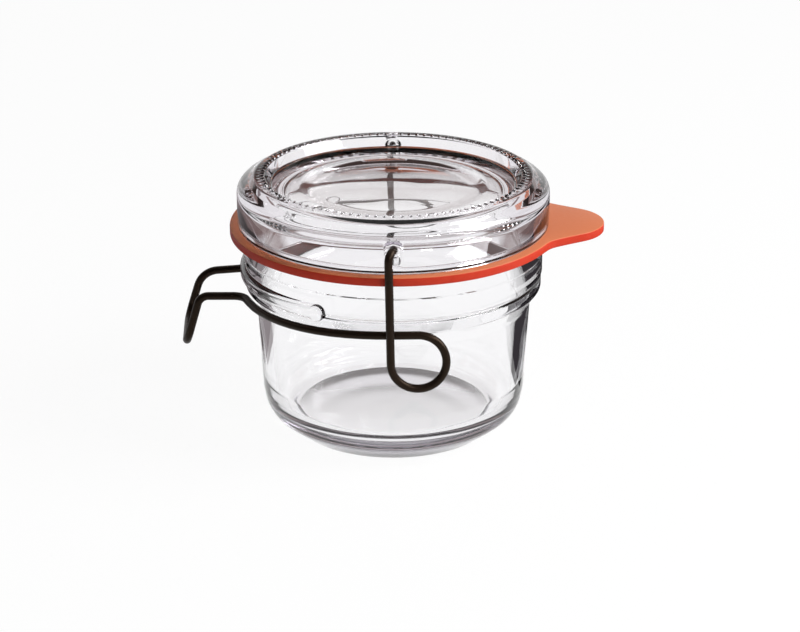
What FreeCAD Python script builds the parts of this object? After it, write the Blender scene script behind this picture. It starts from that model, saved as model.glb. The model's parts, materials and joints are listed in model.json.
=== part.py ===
import FreeCAD, Part
import math
import os
import re
import Sketcher
from FreeCAD import Placement, Rotation, Vector

# A clip-lid preserving jar. The origin is the middle of the base, +Z is up,
# the wire handle points to -X, the pull tab of the rubber ring points to +X
# and the two pivots of the wire are on the Y axis. All sizes are millimetres.

doc = FreeCAD.newDocument("preserving_jar")
sheet = doc.addObject("Spreadsheet::Sheet", "sizes")

SIZES = (
    # mouth and height, which everything that fits the neck follows
    ("mouth_radius", 37.6),
    ("rim_height", 57.7),
    # glass jar, outside
    ("finish_wall", 4.6),
    ("finish_depth", 5.3),
    ("rim_round", 0.7),
    ("neck_inset", 0.3),
    ("ring_inset", 0.6),
    ("ring_top_below_rim", 12.3),
    ("ring_width", 3.3),
    ("ring_round", 0.5),
    ("groove_depth", 0.5),
    ("shoulder_below_rim", 19.4),
    ("shoulder_round", 4.0),
    ("body_inset", 3.5),
    ("body_taper", 1.6),
    ("heel_width", 7.7),
    ("heel_height", 10.6),
    ("foot_width", 4.0),
    ("foot_rise", 0.8),
    # glass jar, inside
    ("base_thickness", 5.5),
    ("wall_thickness", 3.5),
    ("low_wall_thickness", 3.4),
    ("inner_heel_width", 7.2),
    ("inner_heel_height", 7.5),
    ("mouth_depth", 12.5),
    # locking lug on the handle side
    ("lug_proud", 1.2),
    ("lug_root", 1.5),
    ("lug_below_rim", 13.0),
    ("lug_thickness", 4.6),
    ("lug_half_span", 61.0),
    ("lug_round", 0.8),
    ("stud_proud", 0.4),
    # rubber ring
    ("gasket_thickness", 2.4),
    ("gasket_clearance", 0.3),
    ("gasket_overhang", 3.55),
    ("tab_length", 13.25),
    ("tab_round_radius", 12.2),
    ("tab_side_angle", 30.0),
    ("tab_root_fillet", 6.0),
    ("tab_overlap", 0.3),
    # glass lid
    ("lid_overhang", 1.4),
    ("lid_side_height", 10.6),
    ("lid_foot_round", 0.9),
    ("lid_shoulder_round", 3.0),
    ("lid_top_width", 4.5),
    ("lid_top_rise", 3.1),
    ("lid_ledge_width", 1.35),
    ("lid_ledge_rise", 0.35),
    ("lid_crest_slope", 0.78),
    ("lid_crest_rise", 0.35),
    ("lid_crest_width", 1.04),
    ("panel_slope", 1.53),
    ("panel_drop", 3.3),
    ("panel_width", 9.4),
    ("disc_rise", 0.6),
    ("lid_glass", 4.4),
    ("recess_inset", 4.0),
    ("recess_round", 4.0),
    ("dimple_clearance", 1.625),
    ("dimple_depth", 1.5),
    # wire bail
    ("wire_diameter", 2.25),
    ("pivot_below_side_top", 3.4),
    ("pin_clearance", 0.7),
    ("pin_length", 2.0),
    ("pin_bend", 1.5),
    ("pin_round", 0.7),
    ("leg_clearance", 0.4),
    ("leg_offset", 1.3),
    ("leg_top_bend", 2.4),
    ("loop_radius", 7.4),
    ("loop_gap", 0.35),
    ("loop_side_offset", 6.75),
    ("arm_clearance", 1.65),
    ("arm_below_lug", 1.15),
    ("arm_bow", 2.0),
    ("arm_wrap_angle", 70.0),
    ("arm_droop", 1.65),
    ("arm_bend", 4.0),
    ("handle_half_width", 11.2),
    ("handle_beyond_gasket", 8.15),
    ("handle_drop", 14.6),
    ("handle_lean", 4.2),
    ("handle_bend_front", 3.2),
    ("handle_bend_rear", 6.5),
    ("handle_corner", 4.5),
    ("handle_skew", 1.0),
    ("handle_rear_dip", 1.0),
)

# radii and heights that follow from them
FINISH = "mouth_radius+finish_wall"
NECK = FINISH + "-neck_inset"
RING = FINISH + "-ring_inset"
WALL_TOP = FINISH + "-body_inset"
WALL_LOW = WALL_TOP + "-body_taper"
FOOT = WALL_LOW + "-heel_width"
FINISH_LOW = "rim_height-finish_depth"
RING_TOP = "rim_height-ring_top_below_rim"
RING_LOW = RING_TOP + "-ring_width"
SHOULDER = "rim_height-shoulder_below_rim"
LUG_LOW = "rim_height-lug_below_rim"
GASKET_IN = "mouth_radius+gasket_clearance"
GASKET_OUT = FINISH + "+gasket_overhang"
TAB_CENTRE = GASKET_OUT + "+tab_length-tab_round_radius"
SEAT = "rim_height+gasket_thickness"
LID = FINISH + "+lid_overhang"
SIDE_TOP = SEAT + "+lid_side_height"
LID_TOP_IN = LID + "-lid_top_width"
LID_TOP = SIDE_TOP + "+lid_top_rise"
LEDGE_IN = LID_TOP_IN + "-lid_ledge_width"
LEDGE = LID_TOP + "+lid_ledge_rise"
CREST_OUT = LEDGE_IN + "-lid_crest_slope"
CREST_IN = CREST_OUT + "-lid_crest_width"
CREST = LEDGE + "+lid_crest_rise"
PANEL_OUT = CREST_IN + "-panel_slope"
PANEL = CREST + "-panel_drop"
DISC_OUT = PANEL_OUT + "-panel_width"
DISC = PANEL + "+disc_rise"
RECESS = "mouth_radius-recess_inset"
CEILING = PANEL + "-lid_glass"
PIVOT = SIDE_TOP + "-pivot_below_side_top"
DIMPLE = "0.5*wire_diameter+dimple_clearance"

for row, (alias, value) in enumerate(SIZES, start=1):
    sheet.set("A%d" % row, alias)
    sheet.set("B%d" % row, str(value))
    sheet.setAlias("B%d" % row, alias)
doc.recompute()


def size(expression):
    """Value of a sheet expression, in millimetres or degrees."""
    names = {alias: sheet.get(alias) for alias, _ in SIZES}
    value = 0.0
    for term in expression.replace("-", "+-").split("+"):
        term = term.strip()
        if not term:
            continue
        sign = 1.0
        if term.startswith("-"):
            sign, term = -1.0, term[1:].strip()
        factor = 1.0
        for part in term.split("*"):
            part = part.strip()
            factor *= float(names[part]) if part in names else float(part)
        value += sign * factor
    return value


def at(x, y, z):
    return Vector(x, y, z)


def setSize(obj, path, expression):
    """Ties one property to the sheet."""
    obj.setExpression(path, re.sub(r"[a-z][a-z_]+", lambda found: "sizes." + found.group(), expression))


def newBody(name):
    body = doc.addObject("PartDesign::Body", name)
    return body


def plane(body, role):
    return next(f for f in body.Origin.OriginFeatures if f.Role == role)


def newSketch(body, name, role):
    sketch = body.newObject("Sketcher::SketchObject", name)
    sketch.AttachmentSupport = (plane(body, role), [""])
    sketch.MapMode = "FlatFace"
    return sketch


def tie(sketch, kind, where, expression):
    """One dimension of a sketch, tied to the sheet."""
    index = sketch.addConstraint(Sketcher.Constraint(kind, *where, size(expression)))
    name = "d%d" % index
    sketch.renameConstraint(index, name)
    setSize(sketch, "Constraints." + name, expression)


def outline(sketch, points):
    """A closed outline of straight runs whose corners are tied to the sheet."""
    ends = [at(size(x), size(y), 0) for x, y in points]
    count = len(points)
    for i in range(count):
        sketch.addGeometry(Part.LineSegment(ends[i], ends[(i + 1) % count]), False)
    for i in range(count):
        sketch.addConstraint(Sketcher.Constraint("Coincident", i, 2, (i + 1) % count, 1))
    for i, (x, y) in enumerate(points):
        if x == "0":
            sketch.addConstraint(Sketcher.Constraint("PointOnObject", i, 1, -2))
        else:
            tie(sketch, "DistanceX", (-1, 1, i, 1), x)
        if y == "0":
            sketch.addConstraint(Sketcher.Constraint("PointOnObject", i, 1, -1))
        else:
            tie(sketch, "DistanceY", (-1, 1, i, 1), y)


def turned(body, name, points):
    """A solid of revolution about Z from an outline of radii and heights."""
    sketch = newSketch(body, name + "_outline", "XZ_Plane")
    outline(sketch, points)
    doc.recompute()
    turn = body.newObject("PartDesign::Revolution", name)
    turn.Profile = sketch
    turn.ReferenceAxis = (sketch, ["V_Axis"])
    turn.Angle = 360
    doc.recompute()
    return turn


def rings(shape, corners):
    """Names of the circular edges at the given radii and heights."""
    found = []
    for radius, height in corners:
        for i, edge in enumerate(shape.Edges, start=1):
            curve = edge.Curve
            if not isinstance(curve, Part.Circle):
                continue
            if abs(curve.Radius - size(radius)) < 0.01 and abs(curve.Center.z - size(height)) < 0.01:
                found.append("Edge%d" % i)
    return found


def rounded(body, name, base, corners, radius):
    """Rounds the circular edges at the given corners of a turned solid."""
    fillet = body.newObject("PartDesign::Fillet", name)
    fillet.Base = (base, rings(base.Shape, corners))
    setSize(fillet, "Radius", radius)
    doc.recompute()
    return fillet


# glass jar -----------------------------------------------------------------

HEEL_STEPS = 6


def quarter(wall, width, rise, floor):
    """Corners along a quarter ellipse from the floor up to a wall's radius."""
    corners = []
    for step in range(HEEL_STEPS + 1):
        turn = math.radians(90 * step / HEEL_STEPS)
        across, up = math.sin(turn), 1 - math.cos(turn)
        radius = "%s-%.5f*%s" % (wall, 1 - across, width)
        corners.append((radius, "%.5f*%s%s" % (up, rise, floor)))
    return corners


outerHeel = quarter(WALL_LOW, "heel_width", "heel_height", "")
outerHeel[0] = (FOOT, "0")
innerHeel = quarter(WALL_LOW + "-low_wall_thickness", "inner_heel_width", "inner_heel_height",
                    "+base_thickness")

glass = newBody("jar_glass")
jarTurn = turned(glass, "jar_turn", [
    ("0", "foot_rise"),
    (FOOT + "-foot_width-foot_rise", "foot_rise"),
    (FOOT + "-foot_width", "0"),
    *outerHeel,
    (WALL_TOP, SHOULDER),
    (RING, RING_LOW),
    (RING, RING_TOP),
    (RING + "-groove_depth", RING_TOP + "+groove_depth"),
    (NECK, RING_TOP + "+3*groove_depth"),
    (NECK, FINISH_LOW),
    (FINISH, FINISH_LOW + "+groove_depth"),
    (FINISH, "rim_height"),
    ("mouth_radius", "rim_height"),
    ("mouth_radius", "rim_height-mouth_depth"),
    (WALL_TOP + "-wall_thickness", SHOULDER),
    *reversed(innerHeel),
    ("0", "base_thickness"),
])
jarRim = rounded(glass, "jar_rim", jarTurn,
                 [(FINISH, "rim_height"), ("mouth_radius", "rim_height")], "rim_round")
jarRing = rounded(glass, "jar_ring", jarRim, [(RING, RING_LOW), (RING, RING_TOP)], "ring_round")
jarShoulder = rounded(glass, "jar_shoulder", jarRing, [(WALL_TOP, SHOULDER)], "shoulder_round")

# locking lug: a bar round the handle side of the neck with a rounded stud at each end


def cylinder(name, radius, height, span=360):
    """A cylinder or, with a smaller span, a sector of one."""
    piece = doc.addObject("Part::Cylinder", name)
    setSize(piece, "Radius", radius)
    setSize(piece, "Height", height)
    if span != 360:
        setSize(piece, "Angle", span)
    return piece


def cut(name, base, tool):
    """Base less tool."""
    result = doc.addObject("Part::Cut", name)
    result.Base = base
    result.Tool = tool
    return result


LUG_ROOT = NECK + "-lug_root"
LUG_FACE = NECK + "+lug_proud"
lugOuter = cylinder("lug_outer", LUG_FACE, "lug_thickness", "2*lug_half_span")
lugInner = cylinder("lug_inner", LUG_ROOT, "lug_thickness")
lugBar = cut("lug_bar", lugOuter, lugInner)
doc.recompute()


def fillet(name, base, edges, radius):
    """Rounds the given edges of a Part solid."""
    result = doc.addObject("Part::Fillet", name)
    result.Base = base
    result.Edges = [(number, size(radius), size(radius)) for number in edges]
    return result


def circles(shape, wanted):
    """Numbers of the circular edges whose circle is wanted."""
    return [number for number, edge in enumerate(shape.Edges, start=1)
            if isinstance(edge.Curve, Part.Circle) and wanted(edge.Curve)]


lugFace = size(LUG_FACE)
lug = fillet("lug", lugBar, circles(lugBar.Shape, lambda c: abs(c.Radius - lugFace) < 0.01), "lug_round")
setSize(lug, "Placement.Base.z", LUG_LOW)
lug.Placement.Rotation = Rotation(at(0, 0, 1), 180 - size("lug_half_span"))

studs = []
for side in (-1, 1):
    stud = cylinder("stud_front" if side < 0 else "stud_rear",
                    "0.5*lug_thickness", "lug_proud+lug_root+stud_proud")
    heading = math.radians(180 - side * size("lug_half_span"))
    outward = at(math.cos(heading), math.sin(heading), 0)
    reach = size(LUG_ROOT)
    stud.Placement = Placement(outward * reach + at(0, 0, size(LUG_LOW + "+0.5*lug_thickness")),
                               Rotation(at(0, 0, 1), outward))
    doc.recompute()
    crown = circles(stud.Shape, lambda c: c.Center.dot(outward) > reach + size("lug_root"))
    studs.append(fillet(stud.Name + "_crown", stud, crown, "lug_round"))

jar = doc.addObject("Part::MultiFuse", "jar")
jar.Label = "jar"
jar.Shapes = [glass, lug] + studs
doc.recompute()

# glass lid ------------------------------------------------------------------

lidGlass = newBody("lid_glass")
lidTurn = turned(lidGlass, "lid_turn", [
    (RECESS, SEAT),
    (LID, SEAT),
    (LID, SIDE_TOP),
    (LID_TOP_IN, LID_TOP),
    (LEDGE_IN, LEDGE),
    (CREST_OUT, CREST),
    (CREST_IN, CREST),
    (PANEL_OUT, PANEL),
    (DISC_OUT, PANEL),
    (DISC_OUT + "-disc_rise", DISC),
    ("0", DISC),
    ("0", CEILING),
    (RECESS, CEILING),
])
lidFoot = rounded(lidGlass, "lid_foot", lidTurn, [(LID, SEAT)], "lid_foot_round")
lidShoulder = rounded(lidGlass, "lid_shoulder", lidFoot, [(LID, SIDE_TOP)], "lid_shoulder_round")
lidCeiling = rounded(lidGlass, "lid_ceiling", lidShoulder, [(RECESS, CEILING)], "recess_round")

dimpleMouth = size(DIMPLE)
depth = size("dimple_depth")
ballRadius = (dimpleMouth ** 2 + depth ** 2) / (2 * depth)
lid = lidGlass
for side in (-1, 1):
    ball = doc.addObject("Part::Sphere", "dimple_front" if side < 0 else "dimple_rear")
    ball.Radius = ballRadius
    ball.Placement = Placement(at(0, side * (size(LID) - depth + ballRadius), size(PIVOT)), Rotation())
    lid = cut("lid_" + ball.Name, lid, ball)
lid.Label = "lid"
doc.recompute()

# rubber ring ----------------------------------------------------------------

rubber = newBody("rubber")
flat = newSketch(rubber, "ring_outline", "XY_Plane")
for radius in (GASKET_OUT, GASKET_IN):
    index = flat.addGeometry(Part.Circle(at(0, 0, 0), at(0, 0, 1), size(radius)), False)
    flat.addConstraint(Sketcher.Constraint("Coincident", index, 3, -1, 1))
    tie(flat, "Radius", (index,), radius)
flat.setExpression("AttachmentOffset.Base.z", "sizes.rim_height")
ring = rubber.newObject("PartDesign::Pad", "ring")
ring.Profile = flat
setSize(ring, "Length", "gasket_thickness")
doc.recompute()

tabFlat = newSketch(rubber, "tab_outline", "XY_Plane")
tabFlat.setExpression("AttachmentOffset.Base.z", "sizes.rim_height")
tipRound = size("tab_round_radius")
tipCentre = size(TAB_CENTRE)
lean = math.radians(size("tab_side_angle"))
root = size(GASKET_IN + "+tab_overlap")
touch = at(tipCentre + tipRound * math.sin(lean), tipRound * math.cos(lean), 0)
spread = touch.y + (touch.x - root) * math.tan(lean)
tabFlat.addGeometry(Part.LineSegment(at(root, -spread, 0), at(root, spread, 0)), False)
tabFlat.addGeometry(Part.LineSegment(at(root, spread, 0), touch), False)
tabFlat.addGeometry(Part.ArcOfCircle(Part.Circle(at(tipCentre, 0, 0), at(0, 0, 1), tipRound),
                                     lean - math.pi / 2, math.pi / 2 - lean), False)
tabFlat.addGeometry(Part.LineSegment(at(touch.x, -touch.y, 0), at(root, -spread, 0)), False)
for first, firstEnd, second, secondEnd in ((0, 2, 1, 1), (3, 2, 0, 1)):
    tabFlat.addConstraint(Sketcher.Constraint("Coincident", first, firstEnd, second, secondEnd))
tabFlat.addConstraint(Sketcher.Constraint("Tangent", 1, 2, 2, 2))
tabFlat.addConstraint(Sketcher.Constraint("Tangent", 3, 1, 2, 1))
tabFlat.addConstraint(Sketcher.Constraint("PointOnObject", 2, 3, -1))
tabFlat.addConstraint(Sketcher.Constraint("Symmetric", 0, 1, 0, 2, -1))
tie(tabFlat, "DistanceX", (-1, 1, 0, 1), GASKET_IN + "+tab_overlap")
tie(tabFlat, "DistanceX", (-1, 1, 2, 3), TAB_CENTRE)
tie(tabFlat, "Radius", (2,), "tab_round_radius")
slope = tabFlat.addConstraint(Sketcher.Constraint("Angle", 1, -lean))
tabFlat.setExpression("Constraints[%d]" % slope, "-sizes.tab_side_angle * 1 deg")
doc.recompute()
tab = rubber.newObject("PartDesign::Pad", "tab")
tab.Profile = tabFlat
setSize(tab, "Length", "gasket_thickness")
doc.recompute()
rootEdges = []
for number, edge in enumerate(tab.Shape.Edges, start=1):
    ends = [v.Point for v in edge.Vertexes]
    upright = len(ends) == 2 and abs(ends[0].x - ends[1].x) + abs(ends[0].y - ends[1].y) < 0.01
    if upright and abs(math.hypot(ends[0].x, ends[0].y) - size(GASKET_OUT)) < 0.1:
        rootEdges.append("Edge%d" % number)
tabRoot = rubber.newObject("PartDesign::Fillet", "tab_root")
tabRoot.Base = (tab, rootEdges)
setSize(tabRoot, "Radius", "tab_root_fillet")
rubber.Label = "gasket"
doc.recompute()

# wire bail --------------------------------------------------------------------

wire = size("wire_diameter")
pivot = size(PIVOT)
lockHeight = size(LUG_LOW + "-arm_below_lug")
legTop = size(GASKET_OUT + "+leg_clearance+0.5*wire_diameter")
loopIn = size(RING + "+arm_clearance+0.5*wire_diameter")
legFoot = loopIn + wire + size("loop_gap")
loopX = size("loop_side_offset")
loopR = size("loop_radius")
handle = size("handle_half_width")
armSpan = size(WALL_TOP)
bow = size("arm_bow")
armR = loopIn - bow
wrap = math.radians(size("arm_wrap_angle"))

# straight runs that each curve is bent round
LOOP_TURN = 270
LOOP_CORNERS = 6
ARM_CORNERS = 4


def corner(x, y, z, bend):
    """One corner of the wire's route and the radius of its bend."""
    return at(x, y, z), bend


def loopRoute(side):
    """Three quarters of a turn, from the foot of the leg round to the top of the loop."""
    corners = []
    step = LOOP_TURN / LOOP_CORNERS
    out = loopR / math.cos(math.radians(step / 2))
    for i in range(LOOP_CORNERS):
        turn = math.radians(180 + step * (i + 0.5))
        inward = (i + 0.5) / LOOP_CORNERS
        y = legFoot * (1 - inward) + loopIn * inward
        corners.append(corner(loopX + out * math.cos(turn), side * y,
                              lockHeight - loopR + out * math.sin(turn), loopR))
    return corners


def armHeight(x):
    """Height of the arm's middle, which falls evenly from the loop to the handle."""
    return lockHeight + size("arm_droop") * max(x, -armSpan) / armSpan


def armRoute(side):
    """The arm round the side of the jar, a little nearer to the neck towards the handle."""
    step = wrap / ARM_CORNERS
    out = armR / math.cos(step / 2)
    corners = []
    for i in range(ARM_CORNERS):
        turn = step * (i + 0.5)
        x = -out * math.sin(turn)
        corners.append(corner(x, side * (bow + out * math.cos(turn)), armHeight(x), armR))
    return corners


def halfRoute(side, bend, skew, dip):
    """Corners of one half of the wire, from its pin to the corner of the handle."""
    tip = size(LID + "-dimple_depth+pin_clearance")
    low = armHeight(-armSpan)
    run = (bow + armR * math.cos(wrap) - handle) / math.sin(wrap)
    elbow = -armR * math.sin(wrap) - run * math.cos(wrap)
    reach = size(GASKET_OUT + "+handle_beyond_gasket") + skew
    fall = size("handle_drop")
    return [
        corner(0, side * tip, pivot, 0),
        corner(0, side * (tip + size("pin_length")), pivot, size("pin_bend")),
        corner(-size("leg_offset"), side * legTop, pivot, size("leg_top_bend")),
        *loopRoute(side),
        *armRoute(side),
        corner(elbow, side * handle, low, size("arm_bend")),
        corner(-reach, side * handle, low - dip, bend),
        corner(-reach - size("handle_lean"), side * handle, low - fall, size("handle_corner")),
    ]


def bentWire(corners, diameter):
    """Straight runs joined by tangent arcs, swept with a round section."""
    edges = []
    here = corners[0][0]
    for i in range(1, len(corners) - 1):
        point, bend = corners[i]
        inward = (point - corners[i - 1][0]).normalize()
        onward = (corners[i + 1][0] - point).normalize()
        turn = inward.getAngle(onward)
        cutBack = bend * math.tan(turn / 2)
        start = point - inward * cutBack
        finish = point + onward * cutBack
        middle = point + (onward - inward).normalize() * (bend / math.cos(turn / 2) - bend)
        if (start - here).Length > 0.001:
            edges.append(Part.LineSegment(here, start).toShape())
        edges.append(Part.Arc(start, middle, finish).toShape())
        here = finish
    edges.append(Part.LineSegment(here, corners[-1][0]).toShape())
    path = Part.Wire(edges)
    heading = (corners[1][0] - corners[0][0]).normalize()
    section = Part.Wire(Part.Circle(corners[0][0], heading, diameter / 2).toShape())
    return path, path.makePipeShell([section], True, False)


front = halfRoute(-1, size("handle_bend_front"), 0, 0)
rear = halfRoute(1, size("handle_bend_rear"), size("handle_skew"), size("handle_rear_dip"))
path, swept = bentWire(front + rear[::-1], wire)
ends = [i for i, e in enumerate(swept.Edges) if isinstance(e.Curve, Part.Circle)
        and min((e.Curve.Center - c[0][0]).Length for c in (front, rear)) < 0.01]
bail = doc.addObject("Part::Feature", "bail")
bail.Shape = swept.makeFillet(size("pin_round"), [swept.Edges[i] for i in ends])
bail.Label = "bail"
bail.Placement = Placement(at(0, 0, 0), Rotation())
doc.recompute()
print("wire length %.1f mm, volume %.1f, section times length %.1f" % (
    path.Length, swept.Volume, path.Length * math.pi * wire ** 2 / 4))

# check and write ----------------------------------------------------------------

for obj in doc.Objects:
    if "Invalid" in obj.State or "Error" in obj.State:
        raise RuntimeError("%s failed: %s" % (obj.Name, obj.State))

os.makedirs("parts", exist_ok=True)
for piece in (jar, lid, rubber, bail):
    shape = piece.Shape
    if shape.isNull() or not shape.isValid() or len(shape.Solids) != 1:
        raise RuntimeError("%s isn't one valid solid" % piece.Label)
    shape.exportStep("parts/%s.step" % piece.Label)
    print("%s: volume %.0f mm3" % (piece.Label, shape.Volume))
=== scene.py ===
import json
import math
import bpy
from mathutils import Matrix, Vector


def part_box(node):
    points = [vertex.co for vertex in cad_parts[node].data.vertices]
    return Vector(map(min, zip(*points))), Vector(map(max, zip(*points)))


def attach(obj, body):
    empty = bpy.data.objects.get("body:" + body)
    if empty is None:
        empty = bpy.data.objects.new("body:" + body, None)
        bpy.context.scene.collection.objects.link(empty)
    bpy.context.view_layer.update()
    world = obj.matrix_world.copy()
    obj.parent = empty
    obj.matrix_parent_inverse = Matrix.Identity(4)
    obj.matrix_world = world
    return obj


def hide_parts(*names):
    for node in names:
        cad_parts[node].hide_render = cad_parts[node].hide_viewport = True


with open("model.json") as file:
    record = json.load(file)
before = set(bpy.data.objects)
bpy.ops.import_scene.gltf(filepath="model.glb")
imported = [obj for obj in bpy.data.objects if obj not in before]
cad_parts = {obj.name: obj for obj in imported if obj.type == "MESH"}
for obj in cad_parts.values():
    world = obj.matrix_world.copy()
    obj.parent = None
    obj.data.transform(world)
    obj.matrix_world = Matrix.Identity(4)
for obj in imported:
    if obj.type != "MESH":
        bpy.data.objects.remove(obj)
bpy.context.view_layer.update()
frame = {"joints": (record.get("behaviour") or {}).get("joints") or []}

# A clip-lid preserving jar: glass jar, glass lid, rubber ring with a tab, wire bail.
# The jar stands on z = 0, the handle points to -X and the tab to +X.
# Sizes are in millimetres, and mm makes them Blender's metres.

mm = 0.001


def inMm(metres):
    return round(metres / mm, 2)


jarLow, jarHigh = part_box("jar")
lidLow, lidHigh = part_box("lid")
ringLow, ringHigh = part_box("gasket")
pivotHeight = inMm(frame["joints"][0]["pos_m"][2])


def deselectAll():
    if bpy.context.mode != "OBJECT":
        bpy.ops.object.mode_set(mode="OBJECT")
    bpy.ops.object.select_all(action="DESELECT")


def activate(piece):
    deselectAll()
    piece.select_set(True)
    bpy.context.view_layer.objects.active = piece


def editMesh(piece, kind="VERT"):
    activate(piece)
    bpy.ops.object.mode_set(mode="EDIT")
    bpy.ops.mesh.select_mode(type=kind)
    bpy.ops.mesh.select_all(action="DESELECT")


def selectPoints(piece, wanted):
    # Selects the corners of a piece that answer a question about their place.
    bpy.ops.object.mode_set(mode="OBJECT")
    for vertex in piece.data.vertices:
        vertex.select = wanted(vertex.co)
    bpy.ops.object.mode_set(mode="EDIT")


def startFrom(name, point):
    # A mesh of one corner, ready to be drawn out with extrude.
    deselectAll()
    bpy.ops.mesh.primitive_circle_add(vertices=3, radius=mm)
    piece = bpy.context.object
    piece.name = name
    piece.data.name = name
    editMesh(piece)
    bpy.ops.mesh.select_all(action="SELECT")
    bpy.ops.mesh.merge(type="CENTER")
    bpy.ops.transform.translate(value=point)
    return piece


def drawTo(step):
    bpy.ops.mesh.extrude_vertices_move(TRANSFORM_OT_translate={"value": step})


def softened(corners, arcSteps=6):
    # Swaps each corner that has a rounding for the points of its arc.
    points = []
    for i, (radius, height, rounding) in enumerate(corners):
        here = Vector((radius, 0, height))
        if not rounding:
            points.append(here)
            continue
        before = (Vector((corners[i - 1][0], 0, corners[i - 1][1])) - here).normalized()
        after = (Vector((corners[i + 1][0], 0, corners[i + 1][1])) - here).normalized()
        inside = before.angle(after)
        back = rounding / math.tan(inside / 2)
        middle = here + (before + after).normalized() * (rounding / math.sin(inside / 2))
        first = here + before * back - middle
        last = here + after * back - middle
        for j in range(arcSteps + 1):
            points.append(middle + first.slerp(last, j / arcSteps) * rounding)
    return points


weldReach = 0.002 * mm  # corners nearer than this become one


def lathe(name, corners, steps):
    # Draws half an outline (radius, height, rounding) and spins it once round the jar's axis.
    points = softened(corners)
    piece = startFrom(name, points[0] * mm)
    for here, there in zip(points, points[1:]):
        drawTo((there - here) * mm)
    bpy.ops.mesh.select_all(action="SELECT")
    bpy.ops.mesh.spin(steps=steps, angle=2 * math.pi, center=(0, 0, 0), axis=(0, 0, 1))
    bpy.ops.mesh.select_all(action="SELECT")
    bpy.ops.mesh.remove_doubles(threshold=weldReach)
    bpy.ops.mesh.normals_make_consistent(inside=False)
    bpy.ops.object.mode_set(mode="OBJECT")
    return piece


def joinSolid(piece, other, how):
    # Adds another closed solid to a piece, or cuts it away.
    activate(piece)
    change = piece.modifiers.new(how.lower(), "BOOLEAN")
    change.operation = how
    change.solver = "EXACT"
    change.object = other
    bpy.ops.object.modifier_apply(modifier=change.name)
    bpy.data.objects.remove(other, do_unlink=True)


def bakePlace(piece):
    activate(piece)
    bpy.ops.object.transform_apply(location=True, rotation=True, scale=True)


def closeHoles(piece):
    editMesh(piece)
    bpy.ops.mesh.select_all(action="SELECT")
    bpy.ops.mesh.remove_doubles(threshold=weldReach)
    bpy.ops.mesh.fill_holes(sides=0)
    bpy.ops.mesh.normals_make_consistent(inside=False)
    bpy.ops.object.mode_set(mode="OBJECT")


def smooth(piece, degrees):
    activate(piece)
    bpy.ops.object.shade_smooth_by_angle(angle=math.radians(degrees))


def finish(piece, material, body):
    piece.data.materials.clear()
    piece.data.materials.append(material)
    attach(piece, body)


def newMaterial(name):
    material = bpy.data.materials.new(name)
    material.use_nodes = True
    nodes = material.node_tree.nodes
    return material, nodes, material.node_tree.links, nodes["Principled BSDF"]


def noiseOn(nodes, links, scale, detail, source):
    noise = nodes.new("ShaderNodeTexNoise")
    noise.inputs["Scale"].default_value = scale
    noise.inputs["Detail"].default_value = detail
    links.new(source, noise.inputs["Vector"])
    return noise.outputs["Fac"]


def bumpFrom(nodes, links, height, strength, distance, shader):
    bump = nodes.new("ShaderNodeBump")
    bump.inputs["Strength"].default_value = strength
    bump.inputs["Distance"].default_value = distance
    links.new(height, bump.inputs["Height"])
    links.new(bump.outputs["Normal"], shader.inputs["Normal"])


def mathOf(nodes, links, operation, first, second, clamp=False):
    # Works on two sockets, or on a socket and a number.
    node = nodes.new("ShaderNodeMath")
    node.operation = operation
    node.use_clamp = clamp
    links.new(first, node.inputs[0])
    if isinstance(second, (int, float)):
        node.inputs[1].default_value = second
    else:
        links.new(second, node.inputs[1])
    return node.outputs[0]


def rangeOf(nodes, links, source, start, end, low=0, high=1):
    # Goes from low to high as the source goes from start to end.
    node = nodes.new("ShaderNodeMapRange")
    node.inputs["From Min"].default_value = start
    node.inputs["From Max"].default_value = end
    node.inputs["To Min"].default_value = low
    node.inputs["To Max"].default_value = high
    links.new(source, node.inputs["Value"])
    return node.outputs["Result"]


def colourMix(nodes, links, share, first, second):
    # Colours may be sockets or plain colours.
    node = nodes.new("ShaderNodeMix")
    node.data_type = "RGBA"
    links.new(share, node.inputs[0])
    for colour, socket in ((first, node.inputs[6]), (second, node.inputs[7])):
        if isinstance(colour, tuple):
            socket.default_value = colour
        else:
            links.new(colour, socket)
    return node.outputs[2]


def axisDistance(nodes, links, place):
    # How far a place is from the jar's axis.
    flat = nodes.new("ShaderNodeVectorMath")
    flat.operation = "MULTIPLY"
    flat.inputs[1].default_value = (1, 1, 0)
    links.new(place, flat.inputs[0])
    radius = nodes.new("ShaderNodeVectorMath")
    radius.operation = "LENGTH"
    links.new(flat.outputs[0], radius.inputs[0])
    return radius.outputs["Value"]


def heightOf(nodes, links, place):
    parts = nodes.new("ShaderNodeSeparateXYZ")
    links.new(place, parts.inputs[0])
    return parts.outputs["Z"]


jarGlassLook = {
    "ior": 1.5,
    "roughness": 0.0,
    "waveScale": 60,  # slow waviness of pressed glass
    "waveDetail": 1,
    "waveHeight": 0.12 * mm,
    "depthTint": (0.5, 0.47, 0.6, 1),
    "depth": 12,
    "stipple": 0.28,  # roughness of the hollow under the base
    "stippleEdge": (30.0 * mm, 27.0 * mm),
    "stippleTop": (3.6 * mm, 3.2 * mm),
}
lidGlassLook = {
    "ior": 1.5,
    "roughness": 0.0,
    "waveScale": 50,
    "waveDetail": 1,
    "waveHeight": 0.2 * mm,
    "depthTint": (0.52, 0.45, 0.56, 1),
    "depth": 16,
}


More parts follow.
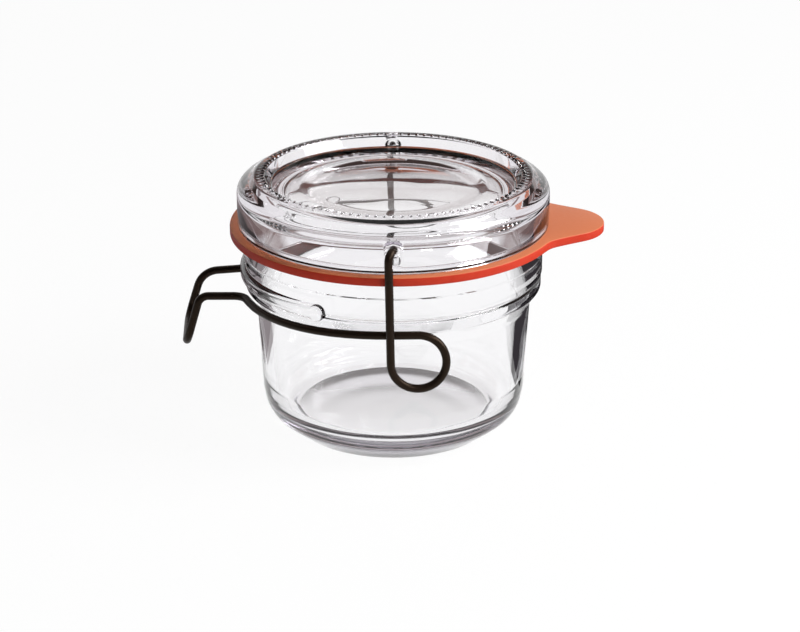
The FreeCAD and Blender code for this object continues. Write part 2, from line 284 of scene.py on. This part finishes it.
def pressedGlass(name, look):
    material, nodes, links, shader = newMaterial(name)
    place = nodes.new("ShaderNodeTexCoord").outputs["Object"]
    shader.inputs["Base Color"].default_value = (1, 1, 1, 1)
    shader.inputs["Transmission Weight"].default_value = 1
    shader.inputs["IOR"].default_value = look["ior"]
    shader.inputs["Roughness"].default_value = look["roughness"]
    if "stipple" in look:
        within = rangeOf(nodes, links, axisDistance(nodes, links, place), *look["stippleEdge"])
        below = rangeOf(nodes, links, heightOf(nodes, links, place), *look["stippleTop"])
        both = mathOf(nodes, links, "MULTIPLY", within, below)
        rough = rangeOf(nodes, links, both, 0, 1, look["roughness"], look["stipple"])
        links.new(rough, shader.inputs["Roughness"])
    wave = noiseOn(nodes, links, look["waveScale"], look["waveDetail"], place)
    bumpFrom(nodes, links, wave, 1, look["waveHeight"], shader)
    depth = nodes.new("ShaderNodeVolumeAbsorption")  # thick glass looks a little grey
    depth.inputs["Color"].default_value = look["depthTint"]
    depth.inputs["Density"].default_value = look["depth"]
    links.new(depth.outputs["Volume"], nodes["Material Output"].inputs["Volume"])
    return material


rubberLook = {
    "base": (0.42, 0.02, 0.006, 1),
    "pale": (0.48, 0.034, 0.01, 1),
    "bloomScale": 60,
    "bloomDetail": 4,
    "top": (0.58, 0.17, 0.072, 1),  # painted sheen: the upper face is made paler, standing in for light from above and its white reflection
    "topStart": (59.9 * mm, 60.05 * mm),
    "paintedShade": (0.1, 0.022, 0.016, 1),  # painted shade: darker inward, where the ring lies in the lid's shade
    "paintedShadeEdge": (43.0 * mm, 41.5 * mm),
    "shine": 0.2,
    "roughness": (0.36, 0.52),
    "grainScale": 900,
    "grainDetail": 3,
    "grainStrength": 0.35,
    "grainHeight": 0.05 * mm,
}


def naturalRubber(look):
    material, nodes, links, shader = newMaterial("orangeRubber")
    place = nodes.new("ShaderNodeTexCoord").outputs["Object"]
    bloom = noiseOn(nodes, links, look["bloomScale"], look["bloomDetail"], place)
    grain = noiseOn(nodes, links, look["grainScale"], look["grainDetail"], place)
    tone = colourMix(nodes, links, bloom, look["base"], look["pale"])
    # Painted sheen: the rubber turns paler above this height, as if lit from above.
    paintedSheenShare = rangeOf(nodes, links, heightOf(nodes, links, place), *look["topStart"])
    tone = colourMix(nodes, links, paintedSheenShare, tone, look["top"])
    # Painted shade: the ring turns darker inward, where the lid shades it.
    under = rangeOf(nodes, links, axisDistance(nodes, links, place), *look["paintedShadeEdge"])
    tone = colourMix(nodes, links, under, tone, look["paintedShade"])
    links.new(tone, shader.inputs["Base Color"])
    shader.inputs["Specular IOR Level"].default_value = look["shine"]
    rough = rangeOf(nodes, links, grain, 0, 1, *look["roughness"])
    links.new(rough, shader.inputs["Roughness"])
    bumpFrom(nodes, links, grain, look["grainStrength"], look["grainHeight"], shader)
    return material


wireLook = {
    "dark": (0.004, 0.003, 0.0025, 1),
    "warm": (0.016, 0.01, 0.007, 1),
    "patchScale": 70,
    "patchDetail": 5,
    "shine": 0.15,
    "sheen": (1, 0.72, 0.5, 1),
    "roughness": (0.2, 0.42),
    "streakScale": 420,
    "streakDetail": 4,
    "streakStrength": 0.3,
    "streakHeight": 0.04 * mm,
}


def bronzedWire(look):
    material, nodes, links, shader = newMaterial("bronzedWire")
    place = nodes.new("ShaderNodeTexCoord").outputs["Object"]
    patches = noiseOn(nodes, links, look["patchScale"], look["patchDetail"], place)
    streaks = noiseOn(nodes, links, look["streakScale"], look["streakDetail"], place)
    tone = colourMix(nodes, links, patches, look["dark"], look["warm"])
    links.new(tone, shader.inputs["Base Color"])
    shader.inputs["Specular IOR Level"].default_value = look["shine"]
    shader.inputs["Specular Tint"].default_value = look["sheen"]
    rough = rangeOf(nodes, links, streaks, 0, 1, *look["roughness"])
    links.new(rough, shader.inputs["Roughness"])
    bumpFrom(nodes, links, streaks, look["streakStrength"], look["streakHeight"], shader)
    return material


jarGlassMaterial = pressedGlass("clearGlassJar", jarGlassLook)
lidGlassMaterial = pressedGlass("clearGlassLid", lidGlassLook)
rubberMaterial = naturalRubber(rubberLook)
wireMaterial = bronzedWire(wireLook)
print("materials ready")


rim = inMm(ringLow.z)  # the rubber ring lies on the jar's rim
bandRadius = inMm(jarHigh.x)

jarBody = {
    # Each corner is a radius, a height and a rounding.
    "base": ((0, 2.2, 0), (8, 2.02, 0), (14, 1.65, 0), (20, 1.08, 0), (25, 0.45, 0), (28.2, 0, 1.6)),
    "wall": ((36.2, 6.2, 8.0), (37.2, 12.0, 6.0), (38.7, 38.3, 4.0)),
    "ring": ((41.1, 42.1, 0.4), (41.6, 42.6, 0.4), (41.6, 45.3, 0.5), (41.0, 45.9, 0.3)),
    "neck": ((41.9, 46.9, 0.4), (41.9, 52.4, 0.4)),
    "band": ((bandRadius, 53.0, 0.4), (bandRadius, rim, 0.8)),
    "mouth": ((37.6, rim, 2.0), (37.6, rim - 12.5, 5.0)),
    "inside": ((35.2, 38.3, 6.0), (33.7, 15.0, 12.0), (33.0, 10.5, 4.0)),
    "floor": ((29.5, 7.2, 4.0), (0, 7.0, 0)),
    "spinSteps": 240,
    "smoothUnder": 40,
}


def jarOutline(jar):
    # From the middle of the base up the outside, and down the inside to the floor.
    parts = ("base", "wall", "ring", "neck", "band", "mouth", "inside", "floor")
    return [corner for part in parts for corner in jar[part]]


lockLug = {
    "face": inMm(-jarLow.x),
    "root": 40.4,
    "low": rim - 13.0,
    "thick": 4.6,
    "halfSpan": 61,
    "round": 1.7,
    "steps": 60,
    "studRound": 0.8,
    "studFace": inMm(-jarLow.x) + 0.4,
    "studCrown": 0.05,
    "studSteps": 40,
}


def buildLug(lug):
    # A bar bent round the neck on the handle side.
    low, high = lug["low"], lug["low"] + lug["thick"]
    section = softened([
        (lug["root"], low, 0),
        (lug["face"], low, lug["round"]),
        (lug["face"], high, lug["round"]),
        (lug["root"], high, 0),
    ])
    piece = startFrom("lockLug", section[0] * mm)
    for here, there in zip(section, section[1:] + section[:1]):
        drawTo((there - here) * mm)
    bpy.ops.mesh.select_all(action="SELECT")
    bpy.ops.mesh.remove_doubles(threshold=weldReach)
    bpy.ops.mesh.select_all(action="SELECT")
    bpy.ops.mesh.spin(steps=lug["steps"], angle=math.radians(2 * lug["halfSpan"]),
                      center=(0, 0, 0), axis=(0, 0, 1))
    closeHoles(piece)
    middle = sum((v.co for v in piece.data.vertices), Vector()) / len(piece.data.vertices)
    piece.rotation_euler.z = math.pi - math.atan2(middle.y, middle.x)  # centred on the handle side
    bakePlace(piece)
    return piece


def buildStud(lug, side):
    half = lug["thick"] / 2
    piece = lathe("lugStud", [
        (0, lug["root"], 0),
        (half, lug["root"], 0),
        (half, lug["studFace"], lug["studRound"]),
        (0, lug["studFace"] + lug["studCrown"], 0),
    ], lug["studSteps"])
    piece.rotation_euler = (0, math.pi / 2, math.radians(180 - side * lug["halfSpan"]))
    piece.location.z = (lug["low"] + half) * mm
    bakePlace(piece)
    return piece


def buildJar(jar):
    piece = lathe("jarGlass", jarOutline(jar), jar["spinSteps"])
    joinSolid(piece, buildLug(lockLug), "UNION")
    for side in (-1, 1):
        joinSolid(piece, buildStud(lockLug, side), "UNION")
    smooth(piece, jar["smoothUnder"])
    return piece


jarPiece = buildJar(jarBody)
finish(jarPiece, jarGlassMaterial, "jar")
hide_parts("jar")
print("jar ready")


lidBody = {
    "seat": inMm(lidLow.z),
    "radius": inMm(lidHigh.x),
    "footRound": 0.9,
    "sideTop": 71.2,
    "shoulderRound": 3.2,
    "steps": ((40.4, 72.9, 2.0), (38.8, 74.1, 1.6)),  # up from the shoulder to the crest
    "crest": 74.1,
    "crestFlat": 0.95,
    "crestRadius": 36.45,
    "beads": 100,
    "beadSteps": 12,
    "beadLevel": 73.4,  # only corners above this are lifted
    "beadRows": 3,
    "beadRowGap": 0.15,
    "beadLifts": ((0.5, 0.14), (0.36, 0.15), (0.18, 0.1)),  # reach round the middle, lift
    "lipIn": 0.75,
    "lipDrop": 0.2,
    "lipRound": 0.4,
    "panel": 71.2,
    "panelCorner": (34.2, 1.2),  # radius, rounding
    "dishRadius": 34.4,
    "dishDepth": 0.9,
    "disc": 25.0,
    "discRise": 0.22,
    "dishRadii": (32, 29, 27, 25.8, 25, 22, 18, 14, 10, 5, 0),
    "recess": 33.6,
    "recessIn": 1.6,
    "recessOut": 1.0,
    "recessRound": 4.0,
    "recessEdge": 0.6,
    "ceiling": 66.8,
    "dimple": (  # the pit for the wire's end, with a soft lip
        (0, -1.5, 0),
        (1.3, -1.3, 1.5),
        (2.1, -0.85, 1.5),
        (2.5, -0.2, 0.6),
        (2.95, 0.2, 0.8),
        (3.6, 0.3, 0),
        (3.6, 3, 0),
        (0, 3, 0),
    ),
    "dimpleSteps": 64,
    "smoothUnder": 50,
}


def lidOutline(lid):
    crest, middle = lid["crest"], lid["crestRadius"]
    outline = [
        (0, lid["ceiling"], 0),
        (lid["recess"] - lid["recessIn"], lid["ceiling"], lid["recessRound"]),
        (lid["recess"] + lid["recessOut"], lid["seat"], lid["recessEdge"]),
        (lid["radius"], lid["seat"], lid["footRound"]),
        (lid["radius"], lid["sideTop"], lid["shoulderRound"]),
        *lid["steps"],
        (middle + lid["crestFlat"], crest, 0),
    ]
    for row in range(-lid["beadRows"], lid["beadRows"] + 1):
        outline.append((middle - lid["beadRowGap"] * row, crest, 0))
    corner, cornerRound = lid["panelCorner"]
    outline.append((middle - lid["lipIn"], crest - lid["lipDrop"], lid["lipRound"]))
    outline.append((corner, lid["panel"], cornerRound))
    for radius in lid["dishRadii"]:
        outline.append((radius, dishAt(lid, radius), 0))
    return outline


def dishAt(lid, radius):
    # The panel sinks a little to its middle, and the disc on it stands a hair above it.
    sunk = lid["dishDepth"] * (1 - (radius / lid["dishRadius"]) ** 2)
    return lid["panel"] - sunk + (lid["discRise"] if radius <= lid["disc"] else 0)


def raiseBeads(piece, lid):
    # Lifts the corners round each bead's middle, in ever smaller patches.
    pitch = 2 * math.pi / lid["beads"]
    editMesh(piece)
    for reach, lift in lid["beadLifts"]:
        def onBead(place):
            if place.z < lid["beadLevel"] * mm:
                return False
            radius = math.hypot(place.x, place.y) / mm
            along = (math.atan2(place.y, place.x) / pitch + 0.5) % 1 - 0.5
            return math.hypot(radius - lid["crestRadius"], along * pitch * radius) < reach
        selectPoints(piece, onBead)
        bpy.ops.transform.translate(value=(0, 0, lift * mm))
    bpy.ops.object.mode_set(mode="OBJECT")


def buildDimple(lid, side):
    piece = lathe("pinDimple", lid["dimple"], lid["dimpleSteps"])
    piece.rotation_euler = (-side * math.pi / 2, 0, 0)
    piece.location = (0, side * lid["radius"] * mm, pivotHeight * mm)
    bakePlace(piece)
    return piece


def buildLid(lid):
    piece = lathe("lidGlass", lidOutline(lid), lid["beads"] * lid["beadSteps"])
    raiseBeads(piece, lid)
    for side in (-1, 1):
        joinSolid(piece, buildDimple(lid, side), "DIFFERENCE")
    smooth(piece, lid["smoothUnder"])
    return piece


lidPiece = buildLid(lidBody)
finish(lidPiece, lidGlassMaterial, "jar")
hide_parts("lid")
print("lid ready")


rubberRing = {
    "low": inMm(ringLow.z),
    "thick": inMm(ringHigh.z - ringLow.z),
    "inner": 37.9,
    "outer": 45.75,
    "tip": inMm(ringHigh.x),
    "tipRound": 12.2,
    "tabSpan": 70,  # no tab beyond this many degrees from +X
    "sideLean": 30,
    "blend": 1.6,
    "edgeRound": 0.3,
    "edgeSteps": 3,
    "sharpOver": 60,
    "smoothUnder": 35,
    "corners": 720,
}


def tabReach(ring, heading):
    # How far the tab goes from the jar's axis at a heading from +X.
    lean = math.radians(ring["sideLean"])
    aside = abs(heading)
    middle = ring["tip"] - ring["tipRound"]
    touchX = middle + ring["tipRound"] * math.sin(lean)
    touchY = ring["tipRound"] * math.cos(lean)
    if aside <= math.atan2(touchY, touchX):
        across = middle * math.sin(aside)
        return middle * math.cos(aside) + math.sqrt(ring["tipRound"] ** 2 - across ** 2)
    if aside > math.radians(ring["tabSpan"]):
        return 0
    return (touchY + touchX * math.tan(lean)) / (math.sin(aside) + math.cos(aside) * math.tan(lean))


def ringReach(ring, heading):
    tab = tabReach(ring, heading)
    if not tab:
        return ring["outer"]
    gap = tab - ring["outer"]
    return ring["outer"] + (gap + math.sqrt(gap * gap + ring["blend"] ** 2)) / 2


def buildRubber(ring):
    deselectAll()
    bpy.ops.mesh.primitive_circle_add(vertices=ring["corners"], radius=ring["outer"] * mm,
                                      location=(0, 0, 0))
    piece = bpy.context.object
    piece.name = "rubberRing"
    piece.data.name = "rubberRing"
    for vertex in piece.data.vertices:
        heading = math.atan2(vertex.co.y, vertex.co.x)
        reach = ringReach(ring, heading) * mm
        vertex.co = (reach * math.cos(heading), reach * math.sin(heading), ring["low"] * mm)
    activate(piece)
    bpy.ops.object.mode_set(mode="EDIT")
    bpy.ops.mesh.select_mode(type="EDGE")
    bpy.ops.mesh.primitive_circle_add(vertices=ring["corners"], radius=ring["inner"] * mm,
                                      location=(0, 0, ring["low"] * mm))
    bpy.ops.mesh.select_all(action="SELECT")
    bpy.ops.mesh.bridge_edge_loops()
    bpy.ops.mesh.select_all(action="SELECT")
    bpy.ops.mesh.extrude_region_move(TRANSFORM_OT_translate={"value": (0, 0, ring["thick"] * mm)})
    bpy.ops.mesh.select_all(action="SELECT")
    bpy.ops.mesh.normals_make_consistent(inside=False)
    bpy.ops.mesh.select_all(action="DESELECT")
    bpy.ops.mesh.edges_select_sharp(sharpness=math.radians(ring["sharpOver"]))
    bpy.ops.mesh.bevel(offset=ring["edgeRound"] * mm, segments=ring["edgeSteps"])
    bpy.ops.object.mode_set(mode="OBJECT")
    smooth(piece, ring["smoothUnder"])
    return piece


rubberPiece = buildRubber(rubberRing)
finish(rubberPiece, rubberMaterial, "jar")
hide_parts("gasket")
print("rubber ring ready")


wireBail = {
    "thick": 2.25,
    "sides": 24,
    "degreesPerStep": 7,
    "fewestSteps": 3,
    "pinTip": 42.8,
    "pinLength": 2.0,
    "pinBend": 1.5,
    "endRound": 0.7,
    "endSteps": 4,
    "shortest": 0.01,  # a straight run shorter than this is left out
    "smoothUnder": 60,
    "sharpOver": 60,
    "pivot": pivotHeight,
    "legTop": 47.275,
    "legOffset": 1.3,
    "legTopBend": 2.4,
    "legFoot": 46.975,
    "loopIn": 44.375,
    "loopSide": 6.75,
    "loopRadius": 7.4,
    "loopTurn": 270,
    "loopCorners": 6,
    "lock": 43.55,
    "armSpan": 38.7,
    "armBow": 2.0,
    "armWrap": 70,
    "armCorners": 4,
    "armDroop": 1.65,
    "armBend": 4.0,
    "handleHalf": 11.2,
    "handleReach": 53.9,
    "handleDrop": 14.6,
    "handleLean": 4.2,
    "handleCorner": 4.5,
    "frontHandle": (3.2, 0, 0),  # bend, skew and dip of the handle's start
    "rearHandle": (6.5, 1.0, 1.0),
}


def armHeight(bail, x):
    return bail["lock"] + bail["armDroop"] * max(x, -bail["armSpan"]) / bail["armSpan"]


def loopRoute(bail, side):
    # The loop turns from the leg back up to the arm, and drifts inward as it turns.
    loop, corners = bail["loopRadius"], bail["loopCorners"]
    step = math.radians(bail["loopTurn"] / corners)
    out = loop / math.cos(step / 2)
    route = []
    for i in range(corners):
        turn = math.pi + step * (i + 0.5)
        inward = (i + 0.5) / corners
        y = bail["legFoot"] * (1 - inward) + bail["loopIn"] * inward
        x = bail["loopSide"] + out * math.cos(turn)
        route.append(((x, side * y, bail["lock"] - loop + out * math.sin(turn)), loop))
    return route


def armRoute(bail, side):
    # The arm follows the neck round to the handle.
    arm, corners = bail["loopIn"] - bail["armBow"], bail["armCorners"]
    step = math.radians(bail["armWrap"] / corners)
    out = arm / math.cos(step / 2)
    route = []
    for i in range(corners):
        turn = step * (i + 0.5)
        x = -out * math.sin(turn)
        y = bail["armBow"] + out * math.cos(turn)
        route.append(((x, side * y, armHeight(bail, x)), arm))
    return route


def handleRoute(bail, side, bend, skew, dip):
    arm, wrap = bail["loopIn"] - bail["armBow"], math.radians(bail["armWrap"])
    half, reach = bail["handleHalf"], bail["handleReach"] + skew
    low = armHeight(bail, -bail["armSpan"])
    run = (bail["armBow"] + arm * math.cos(wrap) - half) / math.sin(wrap)
    start = -arm * math.sin(wrap) - run * math.cos(wrap)
    return [
        ((start, side * half, low), bail["armBend"]),
        ((-reach, side * half, low - dip), bend),
        ((-reach - bail["handleLean"], side * half, low - bail["handleDrop"]), bail["handleCorner"]),
    ]


def halfRoute(bail, side, handle):
    # The wire's corners in order from its pin, each with the radius it is bent to.
    route = [
        ((0, side * bail["pinTip"], bail["pivot"]), 0),
        ((0, side * (bail["pinTip"] + bail["pinLength"]), bail["pivot"]), bail["pinBend"]),
        ((-bail["legOffset"], side * bail["legTop"], bail["pivot"]), bail["legTopBend"]),
    ]
    route += loopRoute(bail, side) + armRoute(bail, side) + handleRoute(bail, side, *handle)
    return [(Vector(place), radius) for place, radius in route]


def drawWire(piece, bail, route, heading):
    # Extrudes the wire's end along each straight run and spins it round each bend.
    here = route[0][0]
    editMesh(piece, "EDGE")
    bpy.ops.mesh.select_all(action="SELECT")
    for i in range(1, len(route)):
        corner, radius = route[i]
        last = i + 1 == len(route)
        onward = heading if last else (route[i + 1][0] - corner).normalized()
        turn = heading.angle(onward)
        back = radius * math.tan(turn / 2)
        start = corner - heading * back
        if (start - here).length > bail["shortest"]:
            bpy.ops.mesh.extrude_region_move(TRANSFORM_OT_translate={"value": (start - here) * mm})
        if not last:
            centre = start + (onward - heading * heading.dot(onward)).normalized() * radius
            steps = max(bail["fewestSteps"], round(math.degrees(turn) / bail["degreesPerStep"]))
            bpy.ops.mesh.spin(steps=steps, angle=turn, center=centre * mm,
                              axis=-heading.cross(onward).normalized())
        here = corner + onward * back
        heading = onward
    bpy.ops.object.mode_set(mode="OBJECT")


def buildBail(bail):
    front = halfRoute(bail, -1, bail["frontHandle"])
    rear = halfRoute(bail, 1, bail["rearHandle"])
    route = front + rear[::-1]
    heading = (route[1][0] - route[0][0]).normalized()
    deselectAll()
    bpy.ops.mesh.primitive_circle_add(vertices=bail["sides"], radius=bail["thick"] / 2 * mm,
                                      location=route[0][0] * mm,
                                      rotation=heading.to_track_quat("Z", "Y").to_euler())
    piece = bpy.context.object
    piece.name = "wireBail"
    piece.data.name = "wireBail"
    bakePlace(piece)
    drawWire(piece, bail, route, heading)
    closeHoles(piece)
    editMesh(piece, "EDGE")
    bpy.ops.mesh.edges_select_sharp(sharpness=math.radians(bail["sharpOver"]))
    bpy.ops.mesh.bevel(offset=bail["endRound"] * mm, segments=bail["endSteps"])
    bpy.ops.object.mode_set(mode="OBJECT")
    smooth(piece, bail["smoothUnder"])
    return piece


wirePiece = buildBail(wireBail)
finish(wirePiece, wireMaterial, "bail")
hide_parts("bail")
print("wire bail ready")


studio = {
    "floorSize": 4.0,
    "floorHeight": -0.0002,
    "floorPaint": (0.9, 0.9, 0.9, 1),
    "floorShare": 0.95,  # how much of the floor is plain white to the eye
    "skyLevel": 0.1,
    "wallBands": (  # degrees above the horizon, colour
        (15, (1, 1, 1, 1)),
        (18, (0.26, 0.18, 0.17, 1)),
        (32, (0.26, 0.18, 0.17, 1)),
        (38, (1, 1, 1, 1)),
    ),
    "roomColour": (0.07, 0.06, 0.06, 1),
    "roomFade": (0.2, -0.3),  # the room darkens between these headings along Y
    "lampAim": (0, 0, 0.04),
}
white = (1, 1, 1, 1)


def emptyMaterial(name):
    material = bpy.data.materials.new(name)
    material.use_nodes = True
    material.node_tree.nodes.clear()
    return material, material.node_tree.nodes, material.node_tree.links


def glowOf(nodes, colour):
    glow = nodes.new("ShaderNodeEmission")
    glow.inputs["Color"].default_value = colour
    glow.inputs["Strength"].default_value = 1
    return glow.outputs[0]


def showMix(nodes, links, share, first, second):
    # Shows a mix of two shaders on the material's surface.
    mix = nodes.new("ShaderNodeMixShader")
    links.new(share, mix.inputs[0])
    links.new(first, mix.inputs[1])
    links.new(second, mix.inputs[2])
    links.new(mix.outputs[0], nodes.new("ShaderNodeOutputMaterial").inputs["Surface"])


def rayKinds(nodes, links):
    # What glass and metal show, and that together with what the camera sees.
    path = nodes.new("ShaderNodeLightPath")
    shown = mathOf(nodes, links, "MAXIMUM", path.outputs["Is Glossy Ray"],
                   path.outputs["Is Transmission Ray"])
    return path, shown, mathOf(nodes, links, "MAXIMUM", path.outputs["Is Camera Ray"], shown)


def whiteToTheEye(name, diffuse, share):
    # White for the camera and for what glass and metal show, and plain paint for light.
    material, nodes, links = emptyMaterial(name)
    paint = nodes.new("ShaderNodeBsdfDiffuse")
    paint.inputs["Color"].default_value = diffuse
    seen = rayKinds(nodes, links)[2]
    weight = mathOf(nodes, links, "MULTIPLY", seen, share)
    showMix(nodes, links, weight, paint.outputs[0], glowOf(nodes, white))
    return material


def addFloor():
    deselectAll()
    bpy.ops.mesh.primitive_plane_add(size=studio["floorSize"],
                                     location=(0, 0, studio["floorHeight"]))
    floor = bpy.context.object
    floor.name = "studioFloor"
    floor.data.materials.append(whiteToTheEye("paleFloor", studio["floorPaint"],
                                              studio["floorShare"]))


def addWorld():
    # White to the camera. Glass and metal also see a warm dark wall above the horizon.
    world = bpy.data.worlds.new("studioWorld")
    bpy.context.scene.world = world
    world.use_nodes = True
    nodes, links = world.node_tree.nodes, world.node_tree.links
    background = nodes["Background"]
    heading = nodes.new("ShaderNodeSeparateXYZ")
    links.new(nodes.new("ShaderNodeTexCoord").outputs["Generated"], heading.inputs[0])
    wall = nodes.new("ShaderNodeValToRGB")
    links.new(heading.outputs["Z"], wall.inputs["Fac"])
    bands = wall.color_ramp.elements
    bands[0].color = bands[1].color = white
    for degrees, colour in studio["wallBands"]:
        band = bands.new(math.sin(math.radians(degrees)))
        band.color = colour
    path, shown, bright = rayKinds(nodes, links)
    # Only plain reflections see the dark room behind the camera.
    behind = rangeOf(nodes, links, heading.outputs["Y"], *studio["roomFade"])
    mirrored = mathOf(nodes, links, "SUBTRACT", path.outputs["Is Glossy Ray"],
                      path.outputs["Is Transmission Ray"], clamp=True)
    room = mathOf(nodes, links, "MULTIPLY", behind, mirrored)
    around = colourMix(nodes, links, room, wall.outputs["Color"], studio["roomColour"])
    links.new(colourMix(nodes, links, shown, white, around), background.inputs["Color"])
    level = rangeOf(nodes, links, bright, 0, 1, studio["skyLevel"], 1)
    links.new(level, background.inputs["Strength"])


lamps = {
    # name: power, size, place
    "keyLamp": (10.5, 0.5, (0.7, -0.15, 0.55)),
    "fillLamp": (1.6, 0.12, (0.35, -0.6, 0.45)),
}


def addLamps():
    for name, (power, size, place) in lamps.items():
        deselectAll()
        bpy.ops.object.light_add(type="AREA", location=place)
        lamp = bpy.context.object
        lamp.name = name
        lamp.data.energy = power
        lamp.data.size = size
        towards = Vector(studio["lampAim"]) - Vector(place)
        lamp.rotation_euler = towards.to_track_quat("-Z", "Y").to_euler()


sideCards = {
    # name: size across and along, place, colour
    "cardLeft": (0.15, 0.28, (-0.13, 0.17, 0.0005), (0.28, 0.25, 0.26, 1)),
    "cardRight": (0.165, 0.3, (0.1325, 0.165, 0.0005), (0.04, 0.035, 0.04, 1)),
}
cardDepth = 2.5  # a look right through both walls crosses more glass than this, and misses the cards


def cardPaint(name, colour):
    material, nodes, links = emptyMaterial(name)
    depth = nodes.new("ShaderNodeLightPath").outputs["Transmission Depth"]
    thin = mathOf(nodes, links, "LESS_THAN", depth, cardDepth)
    clear = nodes.new("ShaderNodeBsdfTransparent").outputs[0]
    showMix(nodes, links, thin, clear, glowOf(nodes, colour))
    return material


def addCards():
    # Cards that only glass and metal show, as a studio uses to draw the edges of clear glass.
    for name, (across, along, place, colour) in sideCards.items():
        deselectAll()
        bpy.ops.mesh.primitive_plane_add(size=1, location=place)
        card = bpy.context.object
        card.name = name
        card.scale = (across, along, 1)
        card.data.materials.append(cardPaint(name, colour))
        card.visible_camera = False
        card.visible_diffuse = False
        card.visible_shadow = False


cameraView = {
    "place": (0, -0.650, 0.2885),
    "turn": (68.42, 0, -0.166),  # degrees about X, Y and Z
    "sensor": 36,
    "lens": 110.57,
}


def addCamera():
    deselectAll()
    turn = [math.radians(degrees) for degrees in cameraView["turn"]]
    bpy.ops.object.camera_add(location=cameraView["place"], rotation=turn)
    camera = bpy.context.object
    camera.name = "mainCamera"
    camera.data.sensor_width = cameraView["sensor"]
    camera.data.lens = cameraView["lens"]
    bpy.context.scene.camera = camera


addFloor()
addWorld()
addLamps()
addCards()
addCamera()
bpy.context.scene.view_settings.view_transform = "Standard"
print("studio ready")
